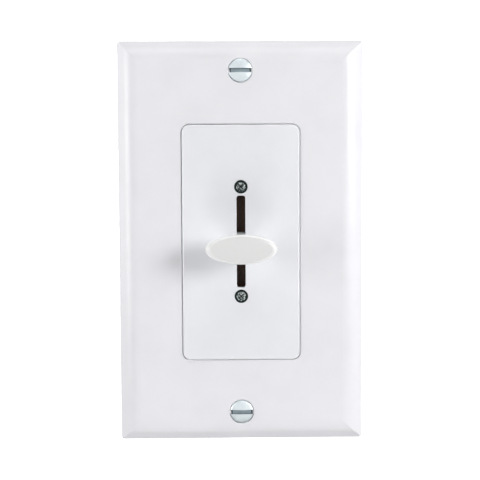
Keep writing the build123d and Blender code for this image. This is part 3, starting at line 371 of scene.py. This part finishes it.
def make_looks():
    """Every look by the name of its material slot, or of its node where that has a finish of its own."""
    looks = {
        "plate_plastic": moulded("plate_plastic", 0.36, colour=(0.80, 0.796, 0.828)),
        "insert_plastic": moulded("insert_plastic", 0.34, grain=0.2, height=0.003,
                                  colour=(0.80, 0.807, 0.838)),
        "knob_plastic": knob_plastic(),
        "bright_zinc": plated("bright_zinc", 0.4, along=(0.15, 1, 1), brushing=0.002, spangle=2.0,
                              colour=(0.78, 0.85, 0.88)),
        # Painted shade: a darker plating colour for the slots and recesses of screws, which are also rougher.
        "slot_grime": plated("slot_grime", 0.6, along=(0.1, 1, 1), brushing=0.01, spangle=1.0,
                             colour=(0.27, 0.325, 0.35)),
        "plate_slot": plate_slot(),
        "zinc_steel": plated("zinc_steel", 0.32, spangle=2.0),
        "strap_steel": plated("strap_steel", 0.36, along=(1, 1, 0.08), brushing=0.006, spangle=5.0),
        "fibre": laminate("fibre", 0.75, dark=0.6),
        "blackened_steel": plated("blackened_steel", 0.35, spangle=1.0, colour=(0.02, 0.028, 0.027)),
        "worn_steel": worn_steel(),
        "pot_steel": plated("pot_steel", 0.38, along=(1, 1, 0.1), brushing=0.005),
        "phenolic": laminate("phenolic", 0.5, fibre=(1, 1, 0.3)),
        "carbon": laminate("carbon", 0.62, fibre=(1, 1, 0.5), dark=0.8),
        "silver_film": plated("silver_film", 0.34, along=(1, 1, 0.1)),
        "tinned_brass": plated("tinned_brass", 0.3, spangle=1.0),
        "carriage_plastic": moulded("carriage_plastic", 0.45, height=0.006),
        "lever_steel": plated("lever_steel", 0.3, along=(1, 0.1, 1)),
        "spring_bronze": plated("spring_bronze", 0.3, along=(1, 1, 0.1)),
        "board_laminate": solder_mask("board_laminate"),
        "sink_aluminium": plated("sink_aluminium", 0.42, along=(1, 1, 0.05), brushing=0.012, spangle=6.0),
        "mosfet": transistor_finish(),
        "driver_ic": chip_finish("driver_ic"),
        "voltage_regulator": chip_finish("voltage_regulator"),
        "protection_diode": diode_finish(),
        "bulk_capacitor": capacitor_finish(),
        "fuse_resin": leaded("fuse_resin", 0.25, BOARD_BACK + 1, grain=1.2, height=0.03, dirt=0.8),
        "resistor_ceramic": end_caps("resistor_ceramic", "chip_resistors", "X", 0.45, ALUMINA,
                                     roughness=0.35, grain=0.15, height=0.006, dirt=0.7),
        "capacitor_ceramic": end_caps("capacitor_ceramic", "ceramic_capacitors", "Z", 0.4, (0.5, 0.36, 0.23),
                                      roughness=0.6, grain=0.1, height=0.006, dirt=0.8),
        "trimmer_plastic": leaded("trimmer_plastic", 0.42, BOARD_BACK - 0.02, height=0.006, dirt=0.85),
        "rotor_plastic": moulded("rotor_plastic", 0.45, height=0.005, dirt=0.9),
        "terminal_plastic": moulded("terminal_plastic", 0.42, height=0.007, dirt=0.85),
        "housing_plastic": moulded("housing_plastic", 0.52, grain=0.35, height=0.02, dirt=0.75),
        "cage_brass": plated("cage_brass", 0.3, along=(1, 0.1, 1)),
    }
    return {name: look.material for name, look in looks.items()}


LOOKS = make_looks()
for name, cad_node in frame["nodes"].items():
    for material_slot in cad_node.material_slots:
        material_slot.material = LOOKS.get(name) or LOOKS[material_slot.material.name]


# ---- Mesh tools --------------------------------------------------------------------------------
def piece(name, mesh_data, looks, stands_for, sharp=35):
    """A new visible object from a bmesh: smooth but for its sharp edges, riding where its CAD node rides."""
    bmesh.ops.recalc_face_normals(mesh_data, faces=mesh_data.faces)
    for face in mesh_data.faces:
        face.smooth = True
    for edge in mesh_data.edges:
        edge.smooth = len(edge.link_faces) == 2 and edge.calc_face_angle(0) < radians(sharp)
    mesh = bpy.data.meshes.new(name)
    mesh_data.to_mesh(mesh)
    mesh_data.free()
    for look in looks:
        mesh.materials.append(LOOKS[look])
    new = bpy.data.objects.new(name, mesh)
    bpy.context.scene.collection.objects.link(new)
    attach(new, BODY_OF[stands_for])
    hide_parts(stands_for)


def bridge(mesh_data, rings):
    """Skins a list of rings that have the same number of points, and closes both ends."""
    built = [[mesh_data.verts.new(Vector(point) * MM) for point in ring] for ring in rings]
    for near, far in zip(built, built[1:]):
        for i in range(len(near)):
            j = (i + 1) % len(near)
            mesh_data.faces.new((near[i], near[j], far[j], far[i]))
    for end in (built[0], built[-1]):
        middle = mesh_data.verts.new(sum((v.co for v in end), Vector()) / len(end))
        for i in range(len(end)):
            mesh_data.faces.new((end[i], end[(i + 1) % len(end)], middle))


def cut(mesh_data, cutter_data, looks):
    """The first bmesh less the second, as a new bmesh whose cut faces have the second look."""
    objects = []
    for face in cutter_data.faces:
        face.material_index = 1
    for part in (mesh_data, cutter_data):
        bmesh.ops.recalc_face_normals(part, faces=part.faces)
        mesh = bpy.data.meshes.new("cutting")
        part.to_mesh(mesh)
        part.free()
        for look in looks:
            mesh.materials.append(LOOKS[look])
        objects.append(bpy.data.objects.new("cutting", mesh))
        bpy.context.scene.collection.objects.link(objects[-1])
    body, cutter = objects
    difference = body.modifiers.new("difference", "BOOLEAN")
    difference.operation = "DIFFERENCE"
    difference.solver = "EXACT"
    difference.object = cutter
    bpy.context.view_layer.update()
    result = bmesh.new()
    result.from_mesh(body.evaluated_get(bpy.context.evaluated_depsgraph_get()).data)
    for used in objects:
        bpy.data.objects.remove(used)
    return result


# ---- Screws ------------------------------------------------------------------------------------
RING_POINTS, RINGS_PER_TURN = 48, 8
RING_TURNS = [tau * i / RING_POINTS for i in range(RING_POINTS)]
SIX_PITCH, M2_PITCH, M3_PITCH, TAPPING_PITCH = 25.4 / 32, 0.4, 0.5, 1.0
SIX_THREAD, SIX_SLOT = 1.75, 1.2    # number 6 screws: thread radius and width of the slot
SINK_END = 1.84 + 0.8       # where the plate screw's countersunk head ends, under the head's top
ACROSS_HEAD = 6.0           # half the length of a slot's cutter, past the rim of a number 6 head
# Heads, as (radius, depth under the top) points
OVAL_EDGE = [(3.18, 0.56), (3.25, 0.68), (3.27, 0.9), (3.15, 1.05), (SIX_THREAD, SINK_END)]
PLAIN_SHANK = [(1.5, 2.0), (1.5, 4.2)]
FLAT_HEAD = [(0.6, 0.1), (1.15, 0.08), (1.3, 0.0), (1.84, 0.0), (1.9, 0.06), (1.0, 0.95)]
CHEESE_HEAD = [(1.0, 0.0), (1.75, 0.0), (1.95, 0.2), (1.95, 1.2), (1.3, 1.2)]


def thread_ridge(turns):
    """Height of a V thread, from 0 at its root to 1 at its crest, with a small flat on both."""
    return min(1.0, max(0.0, 1.3 - 1.6 * abs(2 * (turns % 1.0) - 1)))


def screw(mesh_data, x, z, top, way, head, thread, length, pitch):
    """A screw along Y: its head's points, as (radius, depth under the top), a thread and a blunt tip."""
    def ring(depth, radius_at):
        y = top + way * depth
        return [(x + radius_at(turn) * cos(turn), y, z + radius_at(turn) * sin(turn)) for turn in RING_TURNS]

    rings = [ring(depth, lambda turn, radius=radius: radius) for radius, depth in head]
    start, root = head[-1][1], thread - 0.55 * pitch
    steps = ceil((length - start) / pitch * RINGS_PER_TURN)
    for i in range(1, steps + 1):
        depth = start + (length - start) * i / steps
        fade = min(1.0, (depth - start) / pitch, (length - depth) / pitch - 1 / 3)
        ridge = (thread - root) * max(0.0, fade)
        rings.append(ring(depth, lambda turn: root + ridge * thread_ridge(depth / pitch - turn / tau)))
    rings.append(ring(length, lambda turn: root * 0.8))
    bridge(mesh_data, rings)


def slot_cutter(mesh_data, x, z, top, way, width, reach, depth):
    """A straight screwdriver slot along X."""
    corners = [(x + side * reach, z + up * width / 2) for side, up in ((-1, -1), (1, -1), (1, 1), (-1, 1))]
    bridge(mesh_data, [[(cx, top + way * level, cz) for cx, cz in corners] for level in (-1.0, depth)])


def cross_cutter(mesh_data, x, z, top, way, reach, width, depth, turn):
    """A tapered cross recess: wide at the top of the head, narrow at its floor."""
    half = width / 2
    outline = []
    for quarter in range(4):
        for along, across in ((half, half), (reach, half), (reach, -half)):
            angle = turn - quarter * pi / 2 + atan2(across, along)
            outline.append((hypot(along, across), angle))
    rings = []
    for level, taper in ((-0.4, 1.12), (depth, 0.55)):
        y = top + way * level
        rings.append([(x + r * taper * cos(a), y, z + r * taper * sin(a)) for r, a in outline])
    bridge(mesh_data, rings)


def screws(node, way, head, thread, pitch, recess, looks=("zinc_steel", "slot_grime"), painted_glint_radius=0.0):
    """The screws that stand for a CAD node, one for each of its solids. `recess` adds a screw's cutter.

    The looks are the screw's, its recess's (by default a painted shade) and, out to the radius given last,
    its head's, where the pot screws get painted glints.
    """
    whole, cutter = bmesh.new(), bmesh.new()
    for low, high in solids(node):
        middle = (low + high) / 2
        top = low.y if way > 0 else high.y
        screw(whole, middle.x, middle.z, top, way, head, thread, high.y - low.y, pitch)
        recess(cutter, middle.x, middle.z, top, way)
        for face in whole.faces:
            away = face.calc_center_median() / MM - Vector((middle.x, top, middle.z))
            if abs(away.y) < 0.2 and hypot(away.x, away.z) < painted_glint_radius:
                face.material_index = 2
    piece(node + "_threaded", cut(whole, cutter, looks), looks, node)


def dome(radius, height, count=8):
    """Points of a domed head's top, from near its middle to its rim."""
    ball = (radius ** 2 + height ** 2) / (2 * height)
    radii = [radius * (i + 0.5) / (count + 0.5) for i in range(count + 1)]
    return [(r, ball - sqrt(ball ** 2 - r ** 2)) for r in radii]


def slotted(width, reach, depth):
    return lambda cutter, x, z, top, way: slot_cutter(cutter, x, z, top, way, width, reach, depth)


def crossed(reach, width, depth, turn=0.0):
    return lambda cutter, x, z, top, way: cross_cutter(cutter, x, z, top, way, reach, width, depth, turn)


def pan_head(radius, height):
    """Points of a rounded pan head, down to its seat."""
    return [(radius * 0.35, 0.0), (radius * 0.6, height * 0.05), (radius * 0.82, height * 0.2),
            (radius * 0.95, height * 0.45), (radius, height * 0.75), (radius, height * 0.97),
            (radius * 0.97, height)]


def pan_screws(node, way, head, thread, pitch, recess):
    """Pan-head screws, from the head's radius and height and the thread's radius."""
    neck = [(thread - 0.15, head[1])]
    screws(node, way, pan_head(*head) + neck, thread, pitch, recess)


def make_screws():
    screws("plate_screws", 1, dome(3.08, 0.5) + OVAL_EDGE, SIX_THREAD, SIX_PITCH,
           slotted(SIX_SLOT, ACROSS_HEAD, 1.25), ("bright_zinc", "plate_slot"))
    screws("box_screws", 1, pan_head(3.35, 2.0) + PLAIN_SHANK, SIX_THREAD, SIX_PITCH,
           slotted(SIX_SLOT, ACROSS_HEAD, 1.0))
    pan_screws("housing_screws", -1, (2.25, 1.6), 1.25, TAPPING_PITCH, crossed(1.45, 0.62, 1.0, 0.4))
    pan_screws("board_screws", -1, (1.9, 1.3), 1.0, M2_PITCH, crossed(1.2, 0.5, 0.8, 0.9))
    pan_screws("heat_sink_screw", -1, (2.8, 2.0), 1.5, M3_PITCH, crossed(1.8, 0.75, 1.2, 0.2))
    # The middles of the pot screws' heads carry painted glints.
    screws("potentiometer_screws", 1, FLAT_HEAD, 1.0, M2_PITCH, crossed(1.15, 0.42, 0.75, 0.75),
           ("blackened_steel", "blackened_steel", "worn_steel"), painted_glint_radius=1.3)
    for number in range(1, 5):
        screws(f"terminal_screw_{number}", -1, CHEESE_HEAD, 1.45, M3_PITCH, slotted(0.7, 4.0, 0.8))


make_screws()


# ---- Knob --------------------------------------------------------------------------------------
KNOB_POINTS = 160
KNOB_CAP_DEPTH, KNOB_CROWN = 3.4, 0.32      # the cap's depth, and how far its face stands out in the middle
KNOB_RIM_DROP, KNOB_BACK_ROUND = 1.5, 0.8   # how far back the rim rolls, and the round at the cap's back
NECK_WIDTH, NECK_HEIGHT, NECK_WAIST = 6.6, 3.2, 0.8     # half sizes behind the cap, and the pull in between


def knob():
    """Oval knob: a faintly crowned face inside a soft rim, a rounded side and a waisted neck."""
    low, high = [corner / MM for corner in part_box("slide_knob")]
    middle, half = (low + high) / 2, (high - low) / 2
    rim = 1 - KNOB_RIM_START
    front, back = low.y, low.y + KNOB_CAP_DEPTH

    def ring(width, height, y):
        turns = [tau * i / KNOB_POINTS for i in range(KNOB_POINTS)]
        return [(middle.x + width * cos(t), y, middle.z + height * sin(t)) for t in turns]

    rings = []
    # The crowned face, from near its middle out to the rim
    for i in range(1, 13):
        share = i / 12 * (1 - rim)
        rings.append(ring(half.x * share, half.z * share, front + KNOB_CROWN * (i / 12) ** 2))
    # The rim, rolling over from the face to the side
    for i in range(1, 15):
        angle = pi / 2 * i / 14
        share = 1 - rim + rim * sin(angle)
        y = front + KNOB_CROWN + KNOB_RIM_DROP * (1 - cos(angle))
        rings.append(ring(half.x * share, half.z * share, y))
    # The rounded back edge of the cap
    for i in range(1, 9):
        angle = pi / 2 * i / 8
        inset = KNOB_BACK_ROUND * (1 - cos(angle))
        y = back - KNOB_BACK_ROUND + KNOB_BACK_ROUND * sin(angle)
        rings.append(ring(half.x - inset, half.z - inset, y))
    # The neck, a little narrower towards the lever
    for i in range(0, 21):
        share = i / 20
        waist = NECK_WAIST * sin(pi * share)
        width, height = NECK_WIDTH - 1.4 * share - waist, NECK_HEIGHT - 0.1 * share - 0.3 * waist
        rings.append(ring(width, height, back + (high.y - back) * share))
    mesh_data = bmesh.new()
    bridge(mesh_data, rings)
    piece("knob", mesh_data, ["knob_plastic"], "slide_knob", sharp=50)


knob()


# ---- Studio ------------------------------------------------------------------------------------
# Lengths in this section are in metres
LIGHT_DISTANCE, FLOOR_BELOW, STUDIO_RADIUS = 0.9, 0.35, 6.0
PAPER_GLOW, AIR_GLOW = 1.2, 0.25


def stage_piece(name, mesh_data):
    """White paper behind or below the object. Only the camera sees it, so it lights nothing."""
    material = bpy.data.materials.new(name)
    material.use_nodes = True
    shader = material.node_tree.nodes["Principled BSDF"]
    shader.inputs["Base Color"].default_value = (0.9, 0.9, 0.9, 1)
    shader.inputs["Roughness"].default_value = 0.9
    shader.inputs["Emission Color"].default_value = (1, 1, 1, 1)
    shader.inputs["Emission Strength"].default_value = PAPER_GLOW
    mesh = bpy.data.meshes.new(name)
    mesh_data.to_mesh(mesh)
    mesh_data.free()
    mesh.materials.append(material)
    new = bpy.data.objects.new(name, mesh)
    new.visible_diffuse = new.visible_glossy = new.visible_shadow = False
    bpy.context.scene.collection.objects.link(new)


def soft_light(name, direction, size, power, card=False, fill=False):
    """A square soft box of that size and power in watts, facing the object from that direction.

    A card shows only as a reflection in what is glossy, and a fill never shows as one.
    """
    data = bpy.data.lights.new(name, "AREA")
    data.size = size
    data.energy = power
    light = bpy.data.objects.new(name, data)
    light.location = Vector(direction).normalized() * LIGHT_DISTANCE
    light.rotation_euler = Vector(direction).to_track_quat("Z", "Y").to_euler()
    light.visible_camera = False
    light.visible_diffuse = not card
    light.visible_glossy = not fill
    bpy.context.scene.collection.objects.link(light)


def studio():
    floor = bmesh.new()
    bmesh.ops.create_grid(floor, x_segments=1, y_segments=1, size=STUDIO_RADIUS,
                          matrix=Matrix.Translation((0, 0, -FLOOR_BELOW)))
    stage_piece("floor", floor)
    surround = bmesh.new()
    bmesh.ops.create_icosphere(surround, subdivisions=3, radius=STUDIO_RADIUS)
    stage_piece("backdrop", surround)
    soft_light("key_light", (1.5, -1.0, 0.46), 0.3, 5.1)
    soft_light("side_light", (1.0, -0.25, 0.1), 0.45, 1.4)
    soft_light("top_light", (0.0, -0.25, 1.0), 0.45, 2.4)
    soft_light("low_light", (0.0, -0.5, -1.0), 0.45, 3.6, fill=True)
    soft_light("left_light", (-1.0, -0.25, 0.1), 0.45, 5.0)
    soft_light("back_key_light", (1.2, 1.0, 0.9), 0.3, 3.8)
    soft_light("back_fill_light", (-1.0, 1.2, 0.2), 0.45, 2.0)
    soft_light("front_card", (0.0, -1.0, -0.05), 2.2, 10.0, card=True)
    soft_light("back_card", (0.0, 1.0, 0.3), 2.2, 5.5, card=True)
    world = bpy.data.worlds.new("studio_air")
    world.use_nodes = True
    air = world.node_tree.nodes["Background"]
    air.inputs["Color"].default_value = (1, 1, 1, 1)
    air.inputs["Strength"].default_value = AIR_GLOW
    bpy.context.scene.world = world
    bpy.context.scene.view_settings.view_transform = "Standard"


# ---- Camera ------------------------------------------------------------------------------------
CAMERA_DISTANCE = 269.0
CAMERA_TARGET = Vector((-0.23, 0.0, 0.47))
CAMERA_ELEVATION, CAMERA_AZIMUTH, CAMERA_ROLL = radians(3.56), radians(-0.73), radians(-0.287)
CAMERA_LENS = 69.79         # for a 36 mm sensor


def camera():
    away = Vector((sin(CAMERA_AZIMUTH) * cos(CAMERA_ELEVATION), -cos(CAMERA_AZIMUTH) * cos(CAMERA_ELEVATION),
                   sin(CAMERA_ELEVATION)))
    level_right = (-away).cross(Vector((0, 0, 1))).normalized()
    level_up = away.cross(level_right)
    right = cos(CAMERA_ROLL) * level_right + sin(CAMERA_ROLL) * level_up
    up = -sin(CAMERA_ROLL) * level_right + cos(CAMERA_ROLL) * level_up
    data = bpy.data.cameras.new("camera")
    data.lens = CAMERA_LENS
    data.sensor_width = 36
    data.clip_start = 0.01
    data.clip_end = 20
    new = bpy.data.objects.new("camera", data)
    turn = Matrix((right, up, away)).transposed().to_4x4()
    new.matrix_world = Matrix.Translation((CAMERA_TARGET + away * CAMERA_DISTANCE) * MM) @ turn
    bpy.context.scene.collection.objects.link(new)
    bpy.context.scene.camera = new


studio()
camera()
